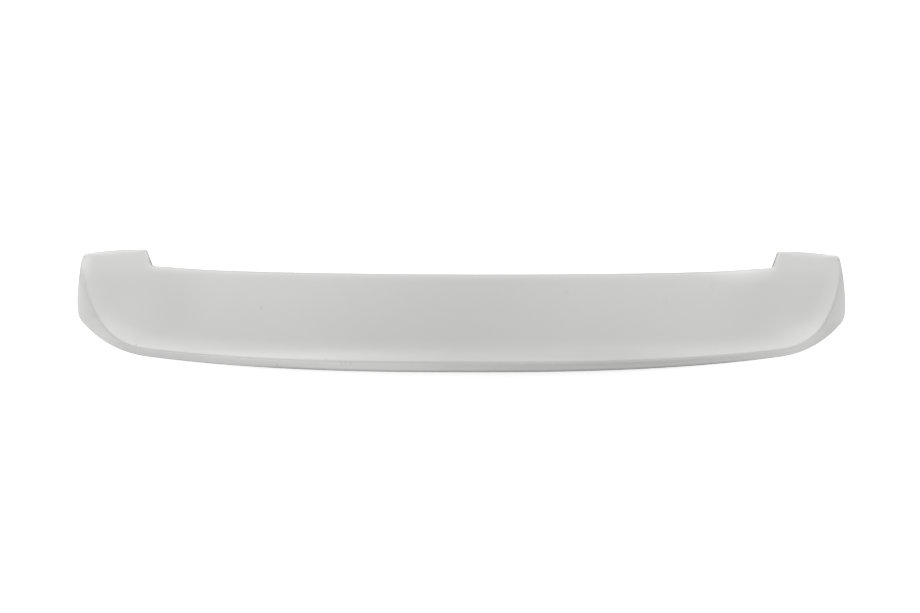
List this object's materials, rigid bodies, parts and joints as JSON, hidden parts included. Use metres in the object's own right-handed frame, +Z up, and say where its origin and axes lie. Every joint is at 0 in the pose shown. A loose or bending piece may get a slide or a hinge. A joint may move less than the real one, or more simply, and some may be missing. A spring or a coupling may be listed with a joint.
{
  "type": "car spoiler",
  "caption": "One-piece moulded tailgate-top spoiler: wide shell with a notched front edge between two horns, a rounded trailing crease and a flared skirt, open underneath.",
  "frame": {"origin": "middle of the bounding box in plan, at the height of the base plane the shell stands on", "axes": "+X across the car, +Y to the front of the car (the horns), +Z up away from the tailgate"},
  "size_m": [1.266, 0.2112, 0.0424],
  "materials": {
    "primer": "matte light grey primer on a moulded skin"
  },
  "bodies": {
    "root": {"spoiler_shell": "primer"}
  },
  "joints": []
}
